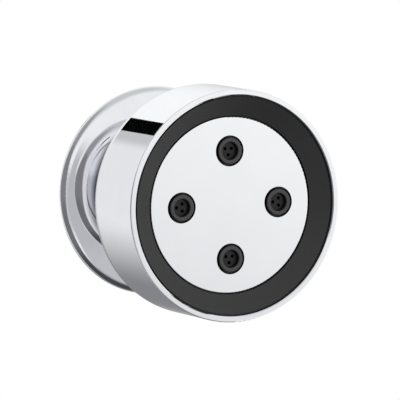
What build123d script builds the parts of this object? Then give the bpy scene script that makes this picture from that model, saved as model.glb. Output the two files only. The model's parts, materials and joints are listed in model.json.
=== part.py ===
from build123d import *
import math
import os

# Shower body jet: a round chrome head with four nozzles, swivelling on a ball in front of a domed wall plate.
# Millimetres. The wall is the plane Y = 0, the jet's axis runs along -Y into the room and +Z is up.
# A distance is measured from the wall along that axis.

# Directions across the face as seen from the room, a full turn and a quarter
RIGHT_DEG = 0.0
UP_DEG = 90.0
LEFT_DEG = 180.0
DOWN_DEG = 270.0
TURN_DEG = 360.0
QUARTER_DEG = 90.0

# Clearances
SWIVEL_GAP = 0.2
SPIN_GAP = 0.1
SLIP_GAP = 0.25
SEAL_GAP = 0.05
SCREW_GAP = 0.05
TRIM_GAP = 0.1

# Inlet stem with its ball
STEM_START = -2.0
SOCKET_RADIUS = 13.6
THREAD_RADIUS = 10.0
THREAD_LENGTH = 12.0
THREAD_CHAMFER = 0.8
RELIEF_STEP = 0.6
SOCKET_WEB = 1.7
SHOULDER_CHAMFER = 1.6
FLAT_WIDTH = 24.0
FLAT_LENGTH = 4.0
NECK_RADIUS = 7.0
NECK_LENGTH = 4.05
NECK_ROUND = 1.0
BALL_RADIUS = 12.0
WATERWAY_RADIUS = 4.0

# Inlet washer, screen and flow regulator
WASHER_THICKNESS = 1.8
WASHER_GAP = 0.2
SCREEN_RADIUS = 6.0
SCREEN_THICKNESS = 0.5
SCREEN_HOLE_RADIUS = 0.45
SCREEN_PITCH = 1.6
SCREEN_ROWS = 2
SCREEN_FIRST_ROW = 6
REGULATOR_RADIUS = 5.5
REGULATOR_LENGTH = 4.0
REGULATOR_BORE = 3.7
REGULATOR_CORE = 1.5
REGULATOR_SPOKE = 1.2
REGULATOR_SPOKES = 3
REGULATOR_RECESS = 0.3

# Wall plate
PLATE_RADIUS = 35.8
PLATE_EDGE = 2.4
PLATE_EDGE_ROUND = 3.0
PLATE_DOME_RADIUS = 98.0
PLATE_WALL = 2.0
PLATE_RIM_WIDTH = 1.9
PLATE_HUB_WALL = 3.3
PLATE_HUB_START = 1.5
GRIP_RING_SECTION = 1.05
GRIP_RING_INSET = 2.6
PAD_WIDTH = 4.6
PAD_THICKNESS = 1.2

# Swivel joint: each axis swings by the same angle to both sides
SWING_DEG = 12.0
OPENING_MARGIN_DEG = 2.0
LINER_MARGIN_DEG = 4.0
LINER_THICKNESS = 0.8
SEAT_SETBACK = 1.0
SEAT_MOUTH_DEG = 45.0
SEAL_SECTION = 1.2
SEAL_DEG = 36.0

# Ball nut and the threaded neck that it screws onto
SPIGOT_REACH = 4.7
SPIGOT_WALL = 2.3
NUT_WALL = 2.95
NUT_LIP = 0.7
NUT_FLARE = 1.3
NUT_EDGE_ROUND = 1.2
NUT_FLAT_DEPTH = 1.4
NUT_FLAT_LENGTH = 6.0

# Case
CASE_RADIUS = 39.0
CASE_WALL = 2.0
CASE_BACK_WALL = 2.2
CASE_OFFSET = 0.5
CASE_REAR_ROUND = 8.0
RIM_ROUND = 0.4
RIM_INNER_CHAMFER = 0.3
CASE_WASHER_THICKNESS = 1.0

# Manifold
SHOULDER_WIDTH = 4.5
SHOULDER_THICKNESS = 2.5
HUB_STEP = 0.5
FLOOR_THICKNESS = 3.0
DISC_THICKNESS = 2.5
CHAMBER_DEPTH = 5.26
SKIRT_INSET = 4.0
SKIRT_WALL = 2.6
FEED_RADIUS = 6.4
RIB_THICKNESS = 1.6
RIB_COUNT = 8
GASKET_THICKNESS = 1.0

# Spray front, face disc and screws
FRONT_DEPTH = 6.8
FRONT_WALL = 3.0
FUNNEL_WIDTH = 7.4
FUNNEL_DROP = 0.4
FUNNEL_GROOVE_WIDTH = 0.6
FUNNEL_GROOVE_DEPTH = 1.2
POCKET_WALL = 1.6
FACE_THICKNESS = 1.2
FACE_RECESS = 4.0
FACE_EDGE_ROUND = 0.25
FACE_REVEAL = 0.5
SCREW_INSET = 5.9
SCREW_COUNT = 4
SCREW_START_DEG = 45.0
SCREW_RADIUS = 1.5
SCREW_HEAD_RADIUS = 2.7
SCREW_HEAD_HEIGHT = 2.0
SCREW_BOSS_WALL = 1.5
SCREW_GRIP = 4.5

# Nozzles
NOZZLE_INSET = 11.4
NOZZLE_RADIUS = 4.4
NOZZLE_STAND = 0.6
NOZZLE_EDGE_ROUND = 0.4
NOZZLE_REVEAL = 0.8
NOZZLE_FLANGE_STEP = 0.55
NOZZLE_FLANGE_THICKNESS = 2.2
NOZZLE_SHANK_RADIUS = 4.0
NOZZLE_SHANK_LENGTH = 4.4
NOZZLE_BORE = 2.6
NOZZLE_WEB = 1.1
NOZZLE_DISH_RADIUS = 3.1
NOZZLE_DISH_FLOOR_RADIUS = 2.7
NOZZLE_DISH_DEPTH = 1.7
NOZZLE_DISH_ROUND = 0.3
NOZZLE_BOSS_WALL = 1.6
JET_RADIUS = 0.6
JET_CIRCLE = 1.4
JET_COUNT = 3
NOZZLE_SEAL_SECTION = 0.37
NOZZLE_SEAL_SETBACK = 2.0
NOZZLE_SEAL_SIDE_GAP = 0.15

# Nozzle places: direction from the face's centre, and direction of the first jet from the nozzle's own centre
NOZZLES = {
    "top": (UP_DEG, DOWN_DEG),
    "left": (LEFT_DEG, LEFT_DEG),
    "bottom": (DOWN_DEG, DOWN_DEG),
    "right": (RIGHT_DEG, LEFT_DEG),
}

# Distances along the axis, stacked from the wall outwards
seal_reach = BALL_RADIUS + SWIVEL_GAP + SEAL_SECTION
thread_end = STEM_START + THREAD_LENGTH
socket_floor = thread_end + WASHER_THICKNESS + WASHER_GAP
socket_front = socket_floor + SOCKET_WEB
ball_centre = socket_front + NECK_LENGTH + math.sqrt(BALL_RADIUS**2 - NECK_RADIUS**2)
regulator_front = ball_centre + math.sqrt(BALL_RADIUS**2 - REGULATOR_RADIUS**2) - REGULATOR_RECESS
regulator_back = regulator_front - REGULATOR_LENGTH
case_rear = ball_centre + CASE_OFFSET
case_floor = case_rear + CASE_BACK_WALL
shoulder_back = case_floor + CASE_WASHER_THICKNESS
shoulder_front = shoulder_back + SHOULDER_THICKNESS
seal_distance = ball_centre + seal_reach * math.cos(math.radians(SEAL_DEG))
seat_floor = seal_distance + SEAL_SECTION + SWIVEL_GAP
floor_front = seat_floor + FLOOR_THICKNESS
disc_back = floor_front - DISC_THICKNESS
skirt_front = floor_front + CHAMBER_DEPTH
front_back = skirt_front + GASKET_THICKNESS
face_back = front_back + FRONT_DEPTH
face_front = face_back + FACE_THICKNESS
rim_front = face_front + FACE_RECESS
funnel_front = rim_front - FUNNEL_DROP
web_back = face_back - FRONT_WALL
nozzle_front = face_front + NOZZLE_STAND
nozzle_shoulder = face_back - NOZZLE_FLANGE_THICKNESS
nozzle_back = nozzle_shoulder - NOZZLE_SHANK_LENGTH
dish_floor = nozzle_front - NOZZLE_DISH_DEPTH
nozzle_seal_distance = nozzle_shoulder - NOZZLE_SEAL_SETBACK
screw_seat = face_back - SCREW_HEAD_HEIGHT - TRIM_GAP

# Radii, worked outwards from the ball and inwards from the case
relief_radius = THREAD_RADIUS + RELIEF_STEP
seal_circle = seal_reach * math.sin(math.radians(SEAL_DEG))
liner_inner = BALL_RADIUS + SWIVEL_GAP
liner_outer = liner_inner + LINER_THICKNESS
seat_radius = liner_outer + SWIVEL_GAP
spigot_radius = seat_radius + SPIGOT_WALL
nut_bore = spigot_radius + SCREW_GAP
nut_radius = nut_bore + NUT_WALL
case_hole = spigot_radius + TRIM_GAP
shoulder_radius = spigot_radius + SHOULDER_WIDTH
hub_radius = spigot_radius + HUB_STEP
case_bore = CASE_RADIUS - CASE_WALL
front_radius = case_bore - TRIM_GAP
face_radius = front_radius - FUNNEL_WIDTH
skirt_radius = case_bore - SKIRT_INSET
chamber_bore = skirt_radius - SKIRT_WALL
screw_circle = chamber_bore - SCREW_INSET
nozzle_circle = face_radius - NOZZLE_INSET
nozzle_opening = NOZZLE_RADIUS + NOZZLE_REVEAL
nozzle_flange = nozzle_opening + NOZZLE_FLANGE_STEP
plate_bore = SOCKET_RADIUS + SLIP_GAP
plate_hub_radius = plate_bore + PLATE_HUB_WALL
pad_outer = PLATE_RADIUS - PLATE_RIM_WIDTH
pad_inner = pad_outer - PAD_WIDTH

# The wall plate's dome: its centre, and the distance at which it meets the plate's bore
dome_centre = PLATE_EDGE - math.sqrt(PLATE_DOME_RADIUS**2 - PLATE_RADIUS**2)
plate_apex = dome_centre + PLATE_DOME_RADIUS
plate_mouth = dome_centre + math.sqrt(PLATE_DOME_RADIUS**2 - plate_bore**2)
grip_ring_distance = plate_mouth - GRIP_RING_INSET

# Angles of the swivel, measured at the ball's centre from the axis towards the wall
swing_corner = math.degrees(math.acos(math.cos(math.radians(SWING_DEG)) ** 2))
neck_angle = math.degrees(math.asin(NECK_RADIUS / seat_radius))
opening_angle = math.radians(neck_angle + swing_corner + OPENING_MARGIN_DEG)
liner_start = math.radians(
    math.degrees(math.asin(NECK_RADIUS / liner_inner)) + SWING_DEG + LINER_MARGIN_DEG
)
liner_end = math.radians(QUARTER_DEG - SWING_DEG - LINER_MARGIN_DEG)
opening_radius = seat_radius * math.sin(opening_angle)
opening_distance = ball_centre - seat_radius * math.cos(opening_angle)
nut_rear = opening_distance - NUT_LIP
spigot_rear = ball_centre - SPIGOT_REACH


def disc(radius, back, front):
    """A cylinder on the jet's axis between two distances from the wall."""
    blank = Cylinder(radius, front - back, align=(Align.CENTER, Align.CENTER, Align.MIN))
    return Pos(0, -back, 0) * Rot(90, 0, 0) * blank


def ring(outer, inner, back, front):
    """A cylinder with a bore through it."""
    return disc(outer, back, front) - disc(inner, back, front)


def taper(back_radius, front_radius, back, front):
    """A cone on the axis that changes radius between two distances."""
    blank = Cone(back_radius, front_radius, front - back, align=(Align.CENTER, Align.CENTER, Align.MIN))
    return Pos(0, -back, 0) * Rot(90, 0, 0) * blank


def ball(radius, centre=ball_centre):
    """A sphere about a point on the axis, the swivel's centre unless another is given."""
    return Pos(0, -centre, 0) * Sphere(radius)


def o_ring(circle, section, distance):
    """A rubber ring around the axis."""
    return Pos(0, -distance, 0) * Rot(90, 0, 0) * Torus(circle, section)


def rim(piece, radius, distance):
    """The round edges of a piece with this radius at this distance from the wall."""
    return piece.edges().filter_by(GeomType.CIRCLE).filter_by(
        lambda edge: math.isclose(edge.radius, radius, abs_tol=1e-4)
        and math.isclose(-edge.arc_center.Y, distance, abs_tol=1e-4)
    )


def spread(piece, radius, degrees):
    """A piece moved off the axis, to a radius and a direction seen from the room."""
    turn = math.radians(degrees)
    return Pos(radius * math.cos(turn), 0, radius * math.sin(turn)) * piece


def around(piece, radius, count, start=RIGHT_DEG):
    """Copies of a piece spaced evenly on a circle about the axis."""
    return [spread(piece, radius, start + TURN_DEG * index / count) for index in range(count)]


def make_ball_stem():
    """Turned brass inlet: female thread at the wall, wrench flats, neck and hollow ball."""
    stem = disc(SOCKET_RADIUS, STEM_START, socket_front)
    stem = chamfer(rim(stem, SOCKET_RADIUS, socket_front), SHOULDER_CHAMFER)
    stem += disc(NECK_RADIUS, socket_floor, ball_centre)
    stem = fillet(rim(stem, NECK_RADIUS, socket_front), NECK_ROUND)
    stem += ball(BALL_RADIUS)
    stem -= disc(THREAD_RADIUS, STEM_START, thread_end)
    stem -= disc(relief_radius, thread_end, socket_floor)
    stem -= taper(THREAD_RADIUS + THREAD_CHAMFER, THREAD_RADIUS, STEM_START, STEM_START + THREAD_CHAMFER)
    stem -= disc(WATERWAY_RADIUS, socket_floor, ball_centre + BALL_RADIUS)
    stem -= disc(REGULATOR_RADIUS, regulator_back, ball_centre + BALL_RADIUS)
    flat = Box(SOCKET_RADIUS, FLAT_LENGTH, 2 * SOCKET_RADIUS, align=(Align.MIN, Align.MIN, Align.CENTER))
    for side in (RIGHT_DEG, LEFT_DEG):
        stem -= Rot(0, side, 0) * Pos(FLAT_WIDTH / 2, -socket_front, 0) * flat
    return stem


def make_inlet_washer():
    """Flat rubber washer in the relief behind the thread, which the supply pipe's end presses on."""
    return ring(relief_radius - TRIM_GAP, SCREEN_RADIUS, socket_floor - WASHER_THICKNESS, socket_floor)


def make_inlet_screen():
    """Punched steel screen that lies in the washer's hole."""
    screen = disc(SCREEN_RADIUS - TRIM_GAP, socket_floor - SCREEN_THICKNESS, socket_floor)
    hole = disc(SCREEN_HOLE_RADIUS, socket_floor - SCREEN_THICKNESS, socket_floor)
    holes = [hole]
    for row in range(1, SCREEN_ROWS + 1):
        holes += around(hole, row * SCREEN_PITCH, row * SCREEN_FIRST_ROW)
    return screen - holes


def make_flow_regulator():
    """Moulded flow regulator in the ball's mouth: a sleeve with a spoked core."""
    regulator = ring(REGULATOR_RADIUS - TRIM_GAP, REGULATOR_BORE, regulator_back, regulator_front)
    regulator += disc(REGULATOR_CORE, regulator_back, regulator_front - REGULATOR_RECESS)
    spoke_length = (REGULATOR_RADIUS - TRIM_GAP + REGULATOR_BORE) / 2
    spoke = Box(
        spoke_length, REGULATOR_SPOKE, REGULATOR_SPOKE, align=(Align.MIN, Align.MAX, Align.CENTER)
    )
    for index in range(REGULATOR_SPOKES):
        regulator += Rot(0, TURN_DEG * index / REGULATOR_SPOKES, 0) * Pos(0, -regulator_back, 0) * spoke
    return regulator


def make_regulator_ring():
    """Soft ring round the regulator's core that narrows the flow as the pressure rises."""
    section = (REGULATOR_BORE - REGULATOR_CORE) / 2 - TRIM_GAP
    return o_ring(
        (REGULATOR_BORE + REGULATOR_CORE) / 2, section, regulator_back + REGULATOR_SPOKE + section + SEAL_GAP
    )


def make_wall_plate():
    """Domed cast plate with a hub that slips along the stem, hollow behind."""
    plate = disc(PLATE_RADIUS, 0, plate_apex) & ball(PLATE_DOME_RADIUS, dome_centre)
    plate = fillet(rim(plate, PLATE_RADIUS, PLATE_EDGE), PLATE_EDGE_ROUND)
    hollow = disc(pad_inner, 0, plate_apex) & ball(PLATE_DOME_RADIUS - PLATE_WALL, dome_centre)
    hollow -= disc(plate_hub_radius, PLATE_HUB_START, plate_apex)
    plate -= hollow
    plate -= disc(pad_outer, 0, PAD_THICKNESS) - disc(pad_inner, 0, PAD_THICKNESS)
    plate -= disc(plate_bore, 0, plate_apex)
    groove = GRIP_RING_SECTION + SEAL_GAP
    return plate - disc(
        SOCKET_RADIUS + 2 * groove, grip_ring_distance - groove, grip_ring_distance + groove
    )


def make_grip_ring():
    """Rubber ring in the wall plate's hub that holds the plate where it is pushed on the stem."""
    return o_ring(SOCKET_RADIUS + SEAL_GAP + GRIP_RING_SECTION, GRIP_RING_SECTION, grip_ring_distance)


def make_wall_pad():
    """Foam ring stuck behind the wall plate's rim, against the wall."""
    return ring(pad_outer - TRIM_GAP, pad_inner + TRIM_GAP, 0, PAD_THICKNESS)


def make_friction_washer():
    """Dished plastic washer that floats between the back of the ball and the nut."""
    start = ball_centre - liner_outer * math.cos(liner_start)
    end = ball_centre - liner_outer * math.cos(liner_end)
    return (ball(liner_outer) & disc(liner_outer, start, end)) - ball(liner_inner)


def make_ball_seat():
    """Plastic cup in front of the ball, which turns in the manifold's neck and holds the seal."""
    mouth = ball_centre + liner_inner * math.cos(math.radians(SEAT_MOUTH_DEG))
    seat = disc(seat_radius - SPIN_GAP, ball_centre + SEAT_SETBACK, seat_floor - SPIN_GAP)
    seat -= ball(liner_inner)
    return seat - disc(seal_circle + SEAL_SECTION + TRIM_GAP, mouth, seat_floor)


def make_ball_seal():
    """Rubber ring that seals the front of the ball."""
    return o_ring(seal_circle, SEAL_SECTION, seal_distance)


def make_ball_nut():
    """Chrome nut that screws onto the manifold's neck, holds the ball and clamps the case."""
    nut = disc(nut_radius, nut_rear, case_rear)
    nut = fillet(rim(nut, nut_radius, nut_rear), NUT_EDGE_ROUND)
    nut -= disc(nut_bore, spigot_rear, case_rear)
    nut -= ball(seat_radius)
    nut -= taper(opening_radius + NUT_FLARE, opening_radius, nut_rear, opening_distance)
    flat = Box(
        nut_radius, NUT_FLAT_LENGTH, 2 * nut_radius, align=(Align.MIN, Align.MAX, Align.CENTER)
    )
    for side in (RIGHT_DEG, LEFT_DEG):
        nut -= Rot(0, side, 0) * Pos(nut_radius - NUT_FLAT_DEPTH, -nut_rear, 0) * flat
    return nut


def make_case():
    """Chrome cup of the head, open to the room, with a large round at its back."""
    case = disc(CASE_RADIUS, case_rear, rim_front)
    case = fillet(rim(case, CASE_RADIUS, case_rear), CASE_REAR_ROUND)
    case = fillet(rim(case, CASE_RADIUS, rim_front), RIM_ROUND)
    inside = disc(case_bore, case_floor, rim_front)
    inside = fillet(rim(inside, case_bore, case_floor), CASE_REAR_ROUND - CASE_WALL)
    case -= inside
    case = chamfer(rim(case, case_bore, rim_front), RIM_INNER_CHAMFER)
    return case - disc(case_hole, case_rear, case_floor)


def make_case_washer():
    """Flat washer between the case's back wall and the manifold's shoulder."""
    return ring(shoulder_radius, case_hole, case_floor, shoulder_back)


def make_manifold():
    """Moulded waterway: threaded neck round the ball, shoulder, ribbed disc, chamber wall and screw posts."""
    manifold = disc(spigot_radius, spigot_rear, shoulder_back)
    manifold += disc(shoulder_radius, shoulder_back, shoulder_front)
    manifold += disc(hub_radius, shoulder_front, floor_front)
    manifold += disc(skirt_radius, disc_back, floor_front)
    manifold += ring(skirt_radius, chamber_bore, floor_front, skirt_front)
    rib = Box(
        chamber_bore, disc_back - shoulder_front, RIB_THICKNESS, align=(Align.MIN, Align.MAX, Align.CENTER)
    )
    for index in range(RIB_COUNT):
        manifold += Rot(0, TURN_DEG * index / RIB_COUNT, 0) * Pos(0, -shoulder_front, 0) * rib
    post = disc(SCREW_RADIUS + SCREW_BOSS_WALL, floor_front, front_back)
    manifold += around(post, screw_circle, SCREW_COUNT, SCREW_START_DEG)
    manifold -= disc(seat_radius, spigot_rear, seat_floor)
    manifold -= disc(FEED_RADIUS, seat_floor, floor_front)
    pilot = disc(SCREW_RADIUS + SCREW_GAP, front_back - SCREW_GRIP - SCREW_GAP, front_back)
    return manifold - around(pilot, screw_circle, SCREW_COUNT, SCREW_START_DEG)


def make_chamber_gasket():
    """Flat gasket between the manifold's chamber wall and the spray front."""
    return ring(skirt_radius, chamber_bore, skirt_front, front_back)


def make_spray_front():
    """Black moulded front: funnel ring round the face disc, nozzle bosses, screw bosses and chamber wall."""
    front = disc(front_radius, web_back, funnel_front)
    front -= disc(face_radius + FACE_REVEAL, face_back, funnel_front)
    front -= taper(face_radius + FACE_REVEAL, front_radius, face_front, funnel_front)
    groove_radius = front_radius - FUNNEL_GROOVE_WIDTH
    front -= ring(front_radius, groove_radius, funnel_front - FUNNEL_GROOVE_DEPTH, funnel_front)
    front -= ring(front_radius - POCKET_WALL, skirt_radius, web_back, face_front)
    front += ring(skirt_radius, chamber_bore, front_back, web_back)
    screw_boss = disc(SCREW_HEAD_RADIUS + SCREW_BOSS_WALL, front_back, face_back)
    front += around(screw_boss, screw_circle, SCREW_COUNT, SCREW_START_DEG)
    screw_hole = disc(SCREW_RADIUS + SCREW_GAP, front_back, face_back)
    screw_hole += disc(SCREW_HEAD_RADIUS + TRIM_GAP, screw_seat, face_back)
    front -= around(screw_hole, screw_circle, SCREW_COUNT, SCREW_START_DEG)
    nozzle_boss = disc(nozzle_flange + NOZZLE_BOSS_WALL, nozzle_back, face_back)
    nozzle_hole = disc(NOZZLE_SHANK_RADIUS + SEAL_GAP, nozzle_back, face_back)
    nozzle_hole += disc(nozzle_flange + SEAL_GAP, nozzle_shoulder, face_back)
    for direction, _ in NOZZLES.values():
        front += spread(nozzle_boss, nozzle_circle, direction)
        front -= spread(nozzle_hole, nozzle_circle, direction)
    return front


def make_front_screws():
    """Screws under the face disc that hold the spray front to the manifold."""
    screw = disc(SCREW_RADIUS, front_back - SCREW_GRIP, screw_seat)
    screw += disc(SCREW_HEAD_RADIUS, screw_seat, screw_seat + SCREW_HEAD_HEIGHT)
    return Compound(children=around(screw, screw_circle, SCREW_COUNT, SCREW_START_DEG))


def make_face_disc():
    """Polished steel disc that covers the screws, with a round hole for each nozzle."""
    face = disc(face_radius, face_back, face_front)
    face = fillet(rim(face, face_radius, face_front), FACE_EDGE_ROUND)
    hole = disc(nozzle_opening, face_back, face_front)
    return face - [spread(hole, nozzle_circle, direction) for direction, _ in NOZZLES.values()]


def make_nozzle(direction, first_jet):
    """Black nozzle insert: dished collar, flange under the face disc, web with the jets and hollow shank."""
    nozzle = disc(NOZZLE_RADIUS, face_back, nozzle_front)
    nozzle = fillet(rim(nozzle, NOZZLE_RADIUS, nozzle_front), NOZZLE_EDGE_ROUND)
    nozzle += disc(nozzle_flange, nozzle_shoulder, face_back)
    nozzle += disc(NOZZLE_SHANK_RADIUS, nozzle_back, nozzle_shoulder)
    nozzle -= taper(NOZZLE_DISH_FLOOR_RADIUS, NOZZLE_DISH_RADIUS, dish_floor, nozzle_front)
    nozzle = fillet(rim(nozzle, NOZZLE_DISH_RADIUS, nozzle_front), NOZZLE_DISH_ROUND)
    nozzle -= disc(NOZZLE_BORE, nozzle_back, dish_floor - NOZZLE_WEB)
    half_groove = NOZZLE_SEAL_SECTION + NOZZLE_SEAL_SIDE_GAP
    nozzle -= ring(
        NOZZLE_SHANK_RADIUS,
        NOZZLE_SHANK_RADIUS - 2 * NOZZLE_SEAL_SECTION,
        nozzle_seal_distance - half_groove,
        nozzle_seal_distance + half_groove,
    )
    jet = disc(JET_RADIUS, dish_floor - NOZZLE_WEB, dish_floor)
    nozzle -= around(jet, JET_CIRCLE, JET_COUNT, first_jet)
    return spread(nozzle, nozzle_circle, direction)


def make_nozzle_seals():
    """Small rubber rings in the grooves of the nozzle shanks."""
    seal = o_ring(NOZZLE_SHANK_RADIUS - NOZZLE_SEAL_SECTION, NOZZLE_SEAL_SECTION, nozzle_seal_distance)
    return Compound(children=[spread(seal, nozzle_circle, direction) for direction, _ in NOZZLES.values()])


pieces = {
    "ball_stem": make_ball_stem(),
    "inlet_washer": make_inlet_washer(),
    "inlet_screen": make_inlet_screen(),
    "flow_regulator": make_flow_regulator(),
    "regulator_ring": make_regulator_ring(),
    "wall_plate": make_wall_plate(),
    "grip_ring": make_grip_ring(),
    "wall_pad": make_wall_pad(),
    "friction_washer": make_friction_washer(),
    "ball_seat": make_ball_seat(),
    "ball_seal": make_ball_seal(),
    "ball_nut": make_ball_nut(),
    "case": make_case(),
    "case_washer": make_case_washer(),
    "manifold": make_manifold(),
    "chamber_gasket": make_chamber_gasket(),
    "spray_front": make_spray_front(),
    "front_screws": make_front_screws(),
    "face_disc": make_face_disc(),
    "nozzle_seals": make_nozzle_seals(),
}
for place, (direction, first_jet) in NOZZLES.items():
    pieces[f"nozzle_{place}"] = make_nozzle(direction, first_jet)

os.makedirs("parts", exist_ok=True)
for name, piece in pieces.items():
    export_step(piece, f"parts/{name}.step")
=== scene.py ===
import json
import math

import bmesh
import bpy
from mathutils import Matrix, Vector


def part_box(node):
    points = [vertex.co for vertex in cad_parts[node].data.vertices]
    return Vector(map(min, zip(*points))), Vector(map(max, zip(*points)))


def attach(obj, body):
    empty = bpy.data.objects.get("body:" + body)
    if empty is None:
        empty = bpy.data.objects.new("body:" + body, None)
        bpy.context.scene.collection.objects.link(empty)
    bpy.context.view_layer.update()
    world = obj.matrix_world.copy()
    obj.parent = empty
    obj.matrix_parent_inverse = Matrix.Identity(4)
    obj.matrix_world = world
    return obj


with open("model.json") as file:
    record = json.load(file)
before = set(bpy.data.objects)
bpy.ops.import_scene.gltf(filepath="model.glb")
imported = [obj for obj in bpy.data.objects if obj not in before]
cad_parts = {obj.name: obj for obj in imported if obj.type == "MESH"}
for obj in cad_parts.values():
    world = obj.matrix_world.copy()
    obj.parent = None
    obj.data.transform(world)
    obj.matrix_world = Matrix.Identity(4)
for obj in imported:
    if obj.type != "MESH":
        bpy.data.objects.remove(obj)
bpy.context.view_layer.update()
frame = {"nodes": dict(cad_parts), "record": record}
nodes = frame["nodes"]

# Ball stem
# The fixed inlet of the jet: turned from a brass bar, bored and threaded at the wall end, with a hollow ball
# at the room end. It is polished and chrome plated, and screws onto the pipe that comes out of the wall.
MM = 0.001
THREAD_PITCH = 1.814 * MM
THREAD_CREST = 0.7 * MM
THREAD_WIDTH = 0.8 * THREAD_PITCH
THREAD_START_TURNS = 1.1
THREAD_TURNS_LEFT_OFF = 1.2
THREAD_STEPS = 48
THREAD_RUN_OUT_STEPS = 24
SHARP_ANGLE = 35
BRASS_CHROME = "#F8F9FB"
BRASS_CHROME_HAZE = "#F1F3F5"


def linear(hex_colour):
    """The linear colour, with alpha, of an sRGB hex value."""
    channels = [int(hex_colour[i:i + 2], 16) / 255 for i in (1, 3, 5)]
    bent = [c / 12.92 if c <= 0.04045 else ((c + 0.055) / 1.055) ** 2.4 for c in channels]
    return (*bent, 1.0)


def add_node(tree, kind, inputs=(), **settings):
    """Adds a node, sets its own settings, and fills or links its sockets from (socket, value) pairs."""
    node = tree.nodes.new(kind)
    for name, value in settings.items():
        setattr(node, name, value)
    for socket, value in inputs:
        if isinstance(value, bpy.types.NodeSocket):
            tree.links.new(value, node.inputs[socket])
        else:
            node.inputs[socket].default_value = value
    return node


def start_material(name):
    """An empty node material and its tree."""
    material = bpy.data.materials.new(name)
    material.use_nodes = True
    material.node_tree.nodes.clear()
    return material, material.node_tree


def per_size(size):
    """The texture scale that gives one cell of a pattern this real size, in metres."""
    return 1.0 / size


def chrome_plate(name, bright, haze, haze_size, peel):
    """Polished metal under bright nickel and chrome. It mirrors the room almost whole, with a faint haze from
    the buffing wheel and, on cast metal, a slight waviness left under the plating."""
    material, tree = start_material(name)
    place = add_node(tree, "ShaderNodeTexCoord").outputs["Object"]
    cloud = add_node(tree, "ShaderNodeTexNoise", [("Vector", place), ("Scale", per_size(haze_size))])
    tint = add_node(tree, "ShaderNodeMix", [
        ("Factor", cloud.outputs["Fac"]), (6, linear(bright)), (7, linear(haze)),
    ], data_type="RGBA")
    rough = add_node(tree, "ShaderNodeMapRange", [
        ("Value", cloud.outputs["Fac"]), ("To Min", 0.015), ("To Max", 0.045),
    ])
    wave = add_node(tree, "ShaderNodeTexNoise", [
        ("Vector", place), ("Scale", per_size(5 * MM)), ("Detail", 1.0),
    ])
    bump = add_node(tree, "ShaderNodeBump", [
        ("Height", wave.outputs["Fac"]), ("Strength", peel), ("Distance", 0.02 * MM),
    ])
    shader = add_node(tree, "ShaderNodeBsdfPrincipled", [
        ("Base Color", tint.outputs[2]), ("Metallic", 1.0), ("Roughness", rough.outputs["Result"]),
        ("Normal", bump.outputs["Normal"]),
    ])
    add_node(tree, "ShaderNodeOutputMaterial", [("Surface", shader.outputs["BSDF"])])
    return material


def paint(material, *names):
    """Gives CAD pieces one material all over."""
    for name in names:
        nodes[name].data.materials.clear()
        nodes[name].data.materials.append(material)


plated_brass = chrome_plate(
    "chrome_plated_brass", BRASS_CHROME, BRASS_CHROME_HAZE, haze_size=6 * MM, peel=0.1,
)
paint(plated_brass, "ball_stem")

mount = next(m for m in frame["record"]["mounts"] if m["name"] == "inlet_thread")
bore_radius = mount["dims"]["r_mm"] * MM
bore_length = mount["dims"]["length_mm"] * MM
bore_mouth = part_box("ball_stem")[1].y


def add_piece(name, vertices, faces, material):
    """A smooth mesh object made from points and faces, with outward normals."""
    mesh = bpy.data.meshes.new(name)
    mesh.from_pydata(vertices, [], faces)
    shape = bmesh.new()
    shape.from_mesh(mesh)
    bmesh.ops.recalc_face_normals(shape, faces=shape.faces)
    shape.to_mesh(mesh)
    shape.free()
    mesh.materials.append(material)
    mesh.shade_smooth()
    mesh.set_sharp_from_angle(angle=math.radians(SHARP_ANGLE))
    piece = bpy.data.objects.new(name, mesh)
    bpy.context.scene.collection.objects.link(piece)
    return piece


def thread_ridge():
    """Points and faces of the thread's one ridge, a rounded triangle swept along a helix in the bore. The
    section is in shares of the ridge's width and height, and its last point lies inside the stem's wall."""
    section = [(-0.5, 0.0), (-0.16, 0.86), (-0.08, 1.0), (0.08, 1.0), (0.16, 0.86), (0.5, 0.0), (0.0, -0.25)]
    turns = bore_length / THREAD_PITCH - THREAD_TURNS_LEFT_OFF
    steps = int(turns * THREAD_STEPS)
    vertices = []
    for step in range(steps + 1):
        angle = 2 * math.pi * step / THREAD_STEPS
        run_out = min(1.0, step / THREAD_RUN_OUT_STEPS, (steps - step) / THREAD_RUN_OUT_STEPS)
        middle = bore_mouth - THREAD_PITCH * (THREAD_START_TURNS + step / THREAD_STEPS)
        for along, height in section:
            radius = bore_radius - THREAD_CREST * height * (run_out if height > 0 else 1.0)
            vertices.append((
                radius * math.cos(angle), middle + along * THREAD_WIDTH, radius * math.sin(angle),
            ))
    count = len(section)
    faces = []
    for step in range(steps):
        for corner in range(count):
            a = step * count + corner
            b = step * count + (corner + 1) % count
            faces.append((a, b, b + count, a + count))
    faces.append(tuple(range(count)))
    faces.append(tuple(steps * count + corner for corner in range(count)))
    return vertices, faces


inlet_thread = add_piece("inlet_thread", *thread_ridge(), plated_brass)
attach(inlet_thread, "stem")

# Inlet washer, seals and gasket
# The soft rings that keep the water in. They are moulded from black EPDM rubber and pressed into their
# grooves and seats.
RUBBER_BLACK = "#1B1B1C"
RUBBER_BLOOM = "#242425"


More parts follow.
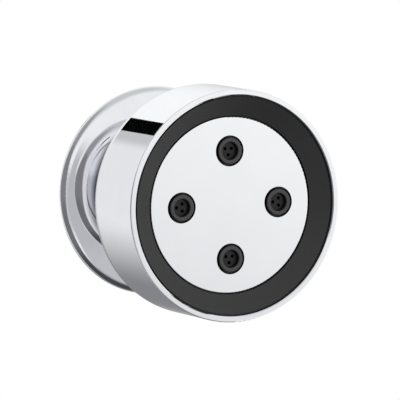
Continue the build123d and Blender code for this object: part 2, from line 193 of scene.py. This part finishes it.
def epdm_rubber():
    """Moulded EPDM: dull black, with a slightly grey bloom and the grain of the mould."""
    material, tree = start_material("moulded_epdm_rubber")
    place = add_node(tree, "ShaderNodeTexCoord").outputs["Object"]
    bloom = add_node(tree, "ShaderNodeTexNoise", [
        ("Vector", place), ("Scale", per_size(3 * MM)), ("Detail", 6.0),
    ])
    colour = add_node(tree, "ShaderNodeMix", [
        ("Factor", bloom.outputs["Fac"]), (6, linear(RUBBER_BLACK)), (7, linear(RUBBER_BLOOM)),
    ], data_type="RGBA")
    grain = add_node(tree, "ShaderNodeTexNoise", [("Vector", place), ("Scale", per_size(0.3 * MM))])
    bump = add_node(tree, "ShaderNodeBump", [
        ("Height", grain.outputs["Fac"]), ("Strength", 0.3), ("Distance", 0.03 * MM),
    ])
    shader = add_node(tree, "ShaderNodeBsdfPrincipled", [
        ("Base Color", colour.outputs[2]), ("Roughness", 0.6), ("IOR", 1.52),
        ("Normal", bump.outputs["Normal"]),
    ])
    add_node(tree, "ShaderNodeOutputMaterial", [("Surface", shader.outputs["BSDF"])])
    return material


paint(
    epdm_rubber(),
    "inlet_washer", "regulator_ring", "grip_ring", "ball_seal", "chamber_gasket", "nozzle_seals",
)

# Inlet screen and front screws
# Small stainless steel parts: the punched screen that lies in the inlet washer, and the screws under the face
# disc that hold the spray front. They are left as they come from the press and the thread roller.
STEEL_LIGHT = "#C9C8C4"
STEEL_DARK = "#A9A8A5"


def stainless_steel():
    """Pressed stainless steel: grey metal with fine drawn lines and a soft reflection."""
    material, tree = start_material("pressed_stainless_steel")
    place = add_node(tree, "ShaderNodeTexCoord").outputs["Object"]
    drawn = add_node(tree, "ShaderNodeMapping", [("Vector", place), ("Scale", (1.0, 1.0, 0.06))])
    lines = add_node(tree, "ShaderNodeTexNoise", [
        ("Vector", drawn.outputs["Vector"]), ("Scale", per_size(0.2 * MM)), ("Detail", 4.0),
    ])
    colour = add_node(tree, "ShaderNodeMix", [
        ("Factor", lines.outputs["Fac"]), (6, linear(STEEL_LIGHT)), (7, linear(STEEL_DARK)),
    ], data_type="RGBA")
    rough = add_node(tree, "ShaderNodeMapRange", [
        ("Value", lines.outputs["Fac"]), ("To Min", 0.25), ("To Max", 0.42),
    ])
    shader = add_node(tree, "ShaderNodeBsdfPrincipled", [
        ("Base Color", colour.outputs[2]), ("Metallic", 1.0), ("Roughness", rough.outputs["Result"]),
    ])
    add_node(tree, "ShaderNodeOutputMaterial", [("Surface", shader.outputs["BSDF"])])
    return material


paint(stainless_steel(), "inlet_screen", "front_screws")

# Flow regulator, friction washer, ball seat and case washer
# The slippery white parts on which the ball turns and the water is metered: moulded in acetal and pressed or
# dropped into place.
ACETAL_WHITE = "#EDECE6"
ACETAL_SHADE = "#E2E0D8"


def acetal():
    """Moulded acetal: milky white, waxy, slightly see-through, with a faint flow pattern."""
    material, tree = start_material("moulded_acetal")
    place = add_node(tree, "ShaderNodeTexCoord").outputs["Object"]
    flow = add_node(tree, "ShaderNodeTexNoise", [
        ("Vector", place), ("Scale", per_size(4 * MM)), ("Distortion", 1.5),
    ])
    colour = add_node(tree, "ShaderNodeMix", [
        ("Factor", flow.outputs["Fac"]), (6, linear(ACETAL_WHITE)), (7, linear(ACETAL_SHADE)),
    ], data_type="RGBA")
    shader = add_node(tree, "ShaderNodeBsdfPrincipled", [
        ("Base Color", colour.outputs[2]), ("Roughness", 0.38), ("IOR", 1.48),
        ("Subsurface Weight", 0.15), ("Subsurface Radius", (0.6 * MM, 0.6 * MM, 0.5 * MM)),
    ])
    add_node(tree, "ShaderNodeOutputMaterial", [("Surface", shader.outputs["BSDF"])])
    return material


paint(acetal(), "flow_regulator", "friction_washer", "ball_seat", "case_washer")

# Wall plate
# The round domed cover against the wall: die cast in zinc, polished and chrome plated. It slips along the
# stem and a rubber ring in its hub holds it against the wall.
CAST_CHROME = "#F0F1F3"
CAST_CHROME_HAZE = "#E3E5E9"
# The darker chrome round the hub is painted shade for the hollow between the plate and the case.
HUB_SHADE_CHROME = "#626468"
HUB_SHADE_RADIUS = 26.1 * MM
HUB_SHADE_BLEND = 0.8 * MM
plated_zinc = chrome_plate(
    "chrome_plated_zinc", CAST_CHROME, CAST_CHROME_HAZE, haze_size=9 * MM, peel=0.15,
)


def paint_hub_shade(material):
    """Darkens the front round the hub with painted shade, standing in for the dark hollow between plate and
    case.
    This is a guess that gives the dark sickle seen beside the case. The normal's share along the axis is -1
    where a face looks into the room."""
    tree = material.node_tree
    shader = tree.nodes["Principled BSDF"]
    bright = shader.inputs["Base Color"].links[0].from_socket
    place = add_node(tree, "ShaderNodeTexCoord")
    across = add_node(tree, "ShaderNodeVectorMath", [
        (0, place.outputs["Object"]), (1, (1, 0, 1)),
    ], operation="MULTIPLY")
    radius = add_node(tree, "ShaderNodeVectorMath", [(0, across.outputs["Vector"])], operation="LENGTH")
    inner = add_node(tree, "ShaderNodeMapRange", [
        ("Value", radius.outputs["Value"]),
        ("From Min", HUB_SHADE_RADIUS + HUB_SHADE_BLEND), ("From Max", HUB_SHADE_RADIUS - HUB_SHADE_BLEND),
    ])
    lie = add_node(tree, "ShaderNodeSeparateXYZ", [("Vector", place.outputs["Normal"])])
    front = add_node(tree, "ShaderNodeMapRange", [
        ("Value", lie.outputs["Y"]), ("From Min", -0.5), ("From Max", -0.8),
    ])
    hub_shade = add_node(tree, "ShaderNodeMath", [
        (0, inner.outputs["Result"]), (1, front.outputs["Result"]),
    ], operation="MULTIPLY")
    colour = add_node(tree, "ShaderNodeMix", [
        ("Factor", hub_shade.outputs["Value"]), (6, bright), (7, linear(HUB_SHADE_CHROME)),
    ], data_type="RGBA")
    tree.links.new(colour.outputs[2], shader.inputs["Base Color"])


paint_hub_shade(plated_zinc)
paint(plated_zinc, "wall_plate")

# Wall pad
# A ring of closed-cell foam stuck behind the wall plate's rim, so that the metal doesn't scratch the tile.
FOAM_BLACK = "#202122"
# The darker colour in the bubbles' dips is painted shade.
FOAM_PORE_SHADE = "#111112"


def cell_foam():
    """Closed-cell polyethylene foam, cut from sheet: a dull black skin of tiny open bubbles, painted darker
    in their dips as painted shade.
    """
    material, tree = start_material("closed_cell_foam")
    place = add_node(tree, "ShaderNodeTexCoord").outputs["Object"]
    cells = add_node(tree, "ShaderNodeTexVoronoi", [("Vector", place), ("Scale", per_size(0.5 * MM))])
    colour = add_node(tree, "ShaderNodeMix", [
        ("Factor", cells.outputs["Distance"]), (6, linear(FOAM_PORE_SHADE)), (7, linear(FOAM_BLACK)),
    ], data_type="RGBA")
    bump = add_node(tree, "ShaderNodeBump", [
        ("Height", cells.outputs["Distance"]), ("Strength", 0.6), ("Distance", 0.15 * MM),
    ])
    shader = add_node(tree, "ShaderNodeBsdfPrincipled", [
        ("Base Color", colour.outputs[2]), ("Roughness", 0.85), ("IOR", 1.5),
        ("Normal", bump.outputs["Normal"]),
    ])
    add_node(tree, "ShaderNodeOutputMaterial", [("Surface", shader.outputs["BSDF"])])
    return material


paint(cell_foam(), "wall_pad")

# Ball nut and case
# The head's outside: a nut with two spanner flats that holds the ball, and the round cup that it clamps. Both
# are turned from brass, buffed bright and chrome plated.
paint(plated_brass, "ball_nut", "case")

# Manifold and spray front
# The head's two mouldings: the waterway behind, and the front with the funnel ring round the face disc. Both
# are black ABS; four screws draw them together on the gasket.
ABS_BLACK = "#141415"
ABS_WORN = "#1C1C1D"


def moulded_abs():
    """Black ABS from a spark-textured mould: an even dull black that scatters the light from its fine grain.
    The real grain is about 0.1 mm; it is drawn at 0.4 mm so that it shows."""
    material, tree = start_material("spark_textured_abs")
    place = add_node(tree, "ShaderNodeTexCoord").outputs["Object"]
    grain = add_node(tree, "ShaderNodeTexNoise", [
        ("Vector", place), ("Scale", per_size(0.4 * MM)), ("Detail", 3.0),
    ])
    colour = add_node(tree, "ShaderNodeMix", [
        ("Factor", grain.outputs["Fac"]), (6, linear(ABS_BLACK)), (7, linear(ABS_WORN)),
    ], data_type="RGBA")
    rough = add_node(tree, "ShaderNodeMapRange", [
        ("Value", grain.outputs["Fac"]), ("To Min", 0.42), ("To Max", 0.56),
    ])
    bump = add_node(tree, "ShaderNodeBump", [
        ("Height", grain.outputs["Fac"]), ("Strength", 0.15), ("Distance", 0.02 * MM),
    ])
    shader = add_node(tree, "ShaderNodeBsdfPrincipled", [
        ("Base Color", colour.outputs[2]), ("Roughness", rough.outputs["Result"]), ("IOR", 1.54),
        ("Normal", bump.outputs["Normal"]),
    ])
    add_node(tree, "ShaderNodeOutputMaterial", [("Surface", shader.outputs["BSDF"])])
    return material


paint(moulded_abs(), "manifold", "spray_front")

# Face disc
# A thin disc punched from stainless steel sheet and polished bright. It hides the screws and is bonded into
# the spray front's recess with black sealant.
DISC_BRIGHT = "#FAFBFC"
DISC_HAZE = "#F4F5F7"
# The near-black colour of the disc's edges is painted shade for the gaps beside them.
PUNCHED_EDGE_SHADE = "#1A1A1B"


def polished_sheet():
    """Stainless steel sheet polished on its face, which mirrors the room with a faint haze. The punched edges
    stay rough, and are painted near black as painted shade for the narrow gaps round the disc and its holes.
    The normal's share along the axis is 1 on the face and 0 on an edge."""
    material, tree = start_material("polished_steel_sheet")
    place = add_node(tree, "ShaderNodeTexCoord")
    haze = add_node(tree, "ShaderNodeTexNoise", [
        ("Vector", place.outputs["Object"]), ("Scale", per_size(12 * MM)),
    ])
    bright = add_node(tree, "ShaderNodeMix", [
        ("Factor", haze.outputs["Fac"]), (6, linear(DISC_BRIGHT)), (7, linear(DISC_HAZE)),
    ], data_type="RGBA")
    lie = add_node(tree, "ShaderNodeSeparateXYZ", [("Vector", place.outputs["Normal"])])
    along = add_node(tree, "ShaderNodeMath", [(0, lie.outputs["Y"])], operation="ABSOLUTE")
    edge = add_node(tree, "ShaderNodeMapRange", [
        ("Value", along.outputs["Value"]), ("From Min", 0.7), ("From Max", 0.2),
    ], interpolation_type="SMOOTHSTEP")
    colour = add_node(tree, "ShaderNodeMix", [
        ("Factor", edge.outputs["Result"]), (6, bright.outputs[2]), (7, linear(PUNCHED_EDGE_SHADE)),
    ], data_type="RGBA")
    rough = add_node(tree, "ShaderNodeMapRange", [
        ("Value", edge.outputs["Result"]), ("To Min", 0.04), ("To Max", 0.55),
    ])
    shader = add_node(tree, "ShaderNodeBsdfPrincipled", [
        ("Base Color", colour.outputs[2]), ("Metallic", 1.0), ("Roughness", rough.outputs["Result"]),
    ])
    add_node(tree, "ShaderNodeOutputMaterial", [("Surface", shader.outputs["BSDF"])])
    return material


paint(polished_sheet(), "face_disc")

# Nozzles
# Four inserts moulded in soft black silicone, so that scale can be rubbed off them, each with three jets in a
# dish. A flange under the face disc holds them, and a narrow gap is left between the collar and the disc.
SILICONE_BLACK = "#0B0B0C"
# The greyer colours on the collar's proud face are painted light; the silicone itself is black, with a random
# mottle.
SILICONE_LIT_FACE = "#3A3A3B"
SILICONE_LIT_MOTTLE = "#444446"
LIT_FACE_DEPTH = 0.45 * MM
face_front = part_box("face_disc")[0].y


def black_silicone():
    """Moulded silicone rubber: deep black with a soft satin gloss, and painted greyer on the collar's face,
    which
    stands proud of the disc: painted light that makes the face look lit beside the dark dish and gap."""
    material, tree = start_material("moulded_silicone")
    place = add_node(tree, "ShaderNodeTexCoord").outputs["Object"]
    skin = add_node(tree, "ShaderNodeTexNoise", [
        ("Vector", place), ("Scale", per_size(0.8 * MM)), ("Detail", 4.0),
    ])
    lit_face = add_node(tree, "ShaderNodeMix", [
        ("Factor", skin.outputs["Fac"]), (6, linear(SILICONE_LIT_FACE)), (7, linear(SILICONE_LIT_MOTTLE)),
    ], data_type="RGBA")
    depth = add_node(tree, "ShaderNodeSeparateXYZ", [("Vector", place)])
    proud = add_node(tree, "ShaderNodeMapRange", [
        ("Value", depth.outputs["Y"]), ("From Min", face_front), ("From Max", face_front - LIT_FACE_DEPTH),
    ])
    colour = add_node(tree, "ShaderNodeMix", [
        ("Factor", proud.outputs["Result"]), (6, linear(SILICONE_BLACK)), (7, lit_face.outputs[2]),
    ], data_type="RGBA")
    bump = add_node(tree, "ShaderNodeBump", [
        ("Height", skin.outputs["Fac"]), ("Strength", 0.2), ("Distance", 0.03 * MM),
    ])
    shader = add_node(tree, "ShaderNodeBsdfPrincipled", [
        ("Base Color", colour.outputs[2]), ("Roughness", 0.36), ("IOR", 1.43),
        ("Normal", bump.outputs["Normal"]),
    ])
    add_node(tree, "ShaderNodeOutputMaterial", [("Surface", shader.outputs["BSDF"])])
    return material


paint(black_silicone(), *(f"nozzle_{place}" for place in ("top", "left", "bottom", "right")))

# Studio
# A white room with a pale floor well below the jet and two soft lamps. Grey and black panels on its walls,
# as a photographer hangs them round polished metal, show only in the mirror surfaces.
FLOOR_WHITE = "#F4F4F4"
FLOOR_DEPTH = 1.2
FLOOR_SIZE = 8.0
FLOOR_GLOW = 0.6
ROOM_WHITE = "#FFFFFF"
ROOM_LIGHT = 0.55
HEAD_MIDDLE = Vector((0.0, -0.045, 0.0))
FLAG_BLACK = "#050505"
FLAG_DISTANCE = 1.5
FLAG_HALF_WIDTH = 0.1
FLAG_HALF_LENGTH = 0.07
FLAG_TURN = 105.7
FLAG_TILT = 29.0

world = bpy.data.worlds.new("white_room")
bpy.context.scene.world = world
world.use_nodes = True
room = world.node_tree
room.nodes.clear()
look = add_node(room, "ShaderNodeTexCoord").outputs["Generated"]


def hang_panel(wall, shade, azimuth, elevation, full, gone):
    """The wall's colour with a soft round panel on it, of full strength inside one angle and gone outside
    another. Azimuth 0 is behind the jet, 90 to its right and 180 in the room; all angles are in degrees."""
    turn = math.radians(azimuth)
    rise = math.radians(elevation)
    middle = (math.sin(turn) * math.cos(rise), math.cos(turn) * math.cos(rise), math.sin(rise))
    share = add_node(room, "ShaderNodeVectorMath", [(0, look), (1, middle)], operation="DOT_PRODUCT")
    angle = add_node(room, "ShaderNodeMath", [(0, share.outputs["Value"])], operation="ARCCOSINE")
    cover = add_node(room, "ShaderNodeMapRange", [
        ("Value", angle.outputs["Value"]), ("From Min", math.radians(gone)), ("From Max", math.radians(full)),
    ], interpolation_type="SMOOTHSTEP")
    mixed = add_node(room, "ShaderNodeMix", [
        ("Factor", cover.outputs["Result"]), (6, wall), (7, linear(shade)),
    ], data_type="RGBA")
    return mixed.outputs[2]


# Over the jet, and low in front of it for the shade at the foot of the face disc
wall = linear(ROOM_WHITE)
wall = hang_panel(wall, "#D7D7DA", 0, 90, 20, 60)
wall = hang_panel(wall, "#CBCBCE", 166, -32.5, 24, 32)
# Behind the jet, for the case's side: dark below, pale above and a grey edge under the black band
wall = hang_panel(wall, "#87878B", 11.6, -25.4, 5, 50)
wall = hang_panel(wall, "#EBEBED", -25, 8, 12, 28)
wall = hang_panel(wall, "#C8C8CA", -13, 25, 2, 7.5)
# On the left, for the wall plate's edge and its dark band
wall = hang_panel(wall, "#D6D6D9", -134, -10, 16, 30)
wall = hang_panel(wall, "#A2A2A5", -82, 42, 18, 45)
wall = hang_panel(wall, "#88888B", -84, -6, 38, 49)
wall = hang_panel(wall, "#79797C", -90, -48, 32, 43)
# In the room, for the plate's dome, and below the jet
wall = hang_panel(wall, "#C4C4C7", -168, -8, 14, 28)
wall = hang_panel(wall, "#4A4A4D", 0, -90, 25, 50)

# Mirrors see the panels, matt surfaces an even light and the camera plain white
rays = add_node(room, "ShaderNodeLightPath")
mirrored = add_node(room, "ShaderNodeMath", [
    (0, rays.outputs["Is Glossy Ray"]), (1, rays.outputs["Is Transmission Ray"]),
], operation="MAXIMUM")
lit = add_node(room, "ShaderNodeBackground", [("Color", linear(ROOM_WHITE)), ("Strength", ROOM_LIGHT)])
walls = add_node(room, "ShaderNodeBackground", [("Color", wall)])
white = add_node(room, "ShaderNodeBackground", [("Color", linear(ROOM_WHITE))])
shown = add_node(room, "ShaderNodeMixShader", [
    (0, mirrored.outputs["Value"]), (1, lit.outputs["Background"]), (2, walls.outputs["Background"]),
])
shown = add_node(room, "ShaderNodeMixShader", [
    (0, rays.outputs["Is Camera Ray"]), (1, shown.outputs["Shader"]), (2, white.outputs["Background"]),
])
add_node(room, "ShaderNodeOutputWorld", [("Surface", shown.outputs["Shader"])])

# A hard-edged black card behind the jet gives the black band on the case. It points at the axis: its turn
# runs round the axis from the right upwards, and its tilt is the angle from the axis, both in degrees.
around = math.radians(FLAG_TURN)
out = math.radians(FLAG_TILT)
facing = Vector((math.sin(out) * math.cos(around), math.cos(out), math.sin(out) * math.sin(around)))
radial = Vector((math.cos(out) * math.cos(around), -math.sin(out), math.cos(out) * math.sin(around)))
across = facing.cross(radial)
flag_middle = HEAD_MIDDLE + facing * FLAG_DISTANCE
flag_mesh = bpy.data.meshes.new("black_flag")
flag_mesh.from_pydata([
    flag_middle + radial * FLAG_HALF_LENGTH * u + across * FLAG_HALF_WIDTH * v
    for u, v in ((-1, -1), (1, -1), (1, 1), (-1, 1))
], [], [(0, 1, 2, 3)])
flag_paint, flag_tree = start_material("black_flag")
flag_glow = add_node(flag_tree, "ShaderNodeEmission", [("Color", linear(FLAG_BLACK)), ("Strength", 1.0)])
add_node(flag_tree, "ShaderNodeOutputMaterial", [("Surface", flag_glow.outputs["Emission"])])
flag_mesh.materials.append(flag_paint)
flag = bpy.data.objects.new("black_flag", flag_mesh)
bpy.context.scene.collection.objects.link(flag)
flag.visible_camera = False
flag.visible_diffuse = False
flag.visible_shadow = False

# The floor glows a little to the camera, so that it is white there and keeps its shadow
half = FLOOR_SIZE / 2
floor_mesh = bpy.data.meshes.new("floor")
floor_mesh.from_pydata([
    (half * u, half * v, -FLOOR_DEPTH) for u, v in ((-1, -1), (1, -1), (1, 1), (-1, 1))
], [], [(0, 1, 2, 3)])
floor_paint, floor_tree = start_material("white_floor")
floor_rays = add_node(floor_tree, "ShaderNodeLightPath")
floor_matt = add_node(floor_tree, "ShaderNodeBsdfDiffuse", [("Color", linear(FLOOR_WHITE))])
floor_share = add_node(floor_tree, "ShaderNodeMath", [
    (0, floor_rays.outputs["Is Camera Ray"]), (1, FLOOR_GLOW),
], operation="MULTIPLY")
floor_glow = add_node(floor_tree, "ShaderNodeEmission", [
    ("Color", linear(ROOM_WHITE)), ("Strength", floor_share.outputs["Value"]),
])
floor_sum = add_node(floor_tree, "ShaderNodeAddShader", [
    (0, floor_matt.outputs["BSDF"]), (1, floor_glow.outputs["Emission"]),
])
add_node(floor_tree, "ShaderNodeOutputMaterial", [("Surface", floor_sum.outputs["Shader"])])
floor_mesh.materials.append(floor_paint)
floor = bpy.data.objects.new("floor", floor_mesh)
floor.visible_glossy = False
bpy.context.scene.collection.objects.link(floor)


def soft_lamp(name, place, size, power):
    """A square softbox that faces the head and isn't seen in the chrome."""
    light = bpy.data.lights.new(name, "AREA")
    light.size = size
    light.energy = power
    lamp = bpy.data.objects.new(name, light)
    lamp.location = place
    lamp.rotation_euler = (HEAD_MIDDLE - Vector(place)).to_track_quat("-Z", "Y").to_euler()
    lamp.visible_glossy = False
    bpy.context.scene.collection.objects.link(lamp)


soft_lamp("key_softbox", place=(1.0, -1.4, 1.5), size=1.2, power=20.0)
soft_lamp("fill_softbox", place=(-1.6, -1.2, 0.6), size=1.2, power=8.0)

# Camera
# A long lens about 1.7 m from the face, to the left of the jet's axis and a little above it. The face's
# centre lies right of the picture's middle and below it, by the pixels given.
CAMERA_AZIMUTH = -27.1
CAMERA_ELEVATION = 6.03
CAMERA_ROLL = -0.48
CLIP_END = 100.0
PIXELS_PER_MM = 3.0
FOCAL_PIXELS = 5000.0
IMAGE_PIXELS = 400
SENSOR_WIDTH = 36.0
FACE_CENTRE_RIGHT = 30.15
FACE_CENTRE_DOWN = 4.93
azimuth = math.radians(CAMERA_AZIMUTH)
elevation = math.radians(CAMERA_ELEVATION)
roll = math.radians(CAMERA_ROLL)
face_centre = Vector((0, face_front, 0))
back = Vector((
    math.sin(azimuth) * math.cos(elevation), -math.cos(azimuth) * math.cos(elevation), math.sin(elevation),
))
level = Vector((math.cos(azimuth), math.sin(azimuth), 0))
upright = back.cross(level)
right = math.cos(roll) * level + math.sin(roll) * upright
top = -math.sin(roll) * level + math.cos(roll) * upright
distance = FOCAL_PIXELS / PIXELS_PER_MM * MM
aside = -right * FACE_CENTRE_RIGHT + top * FACE_CENTRE_DOWN
eye = face_centre + back * distance + aside / PIXELS_PER_MM * MM
lens = bpy.data.cameras.new("camera")
lens.sensor_width = SENSOR_WIDTH
lens.lens = SENSOR_WIDTH * FOCAL_PIXELS / IMAGE_PIXELS
lens.clip_end = CLIP_END
camera = bpy.data.objects.new("camera", lens)
camera.matrix_world = Matrix((
    (right.x, top.x, back.x, eye.x),
    (right.y, top.y, back.y, eye.y),
    (right.z, top.z, back.z, eye.z),
    (0, 0, 0, 1),
))
bpy.context.scene.collection.objects.link(camera)
bpy.context.scene.camera = camera
bpy.context.scene.view_settings.view_transform = "Standard"
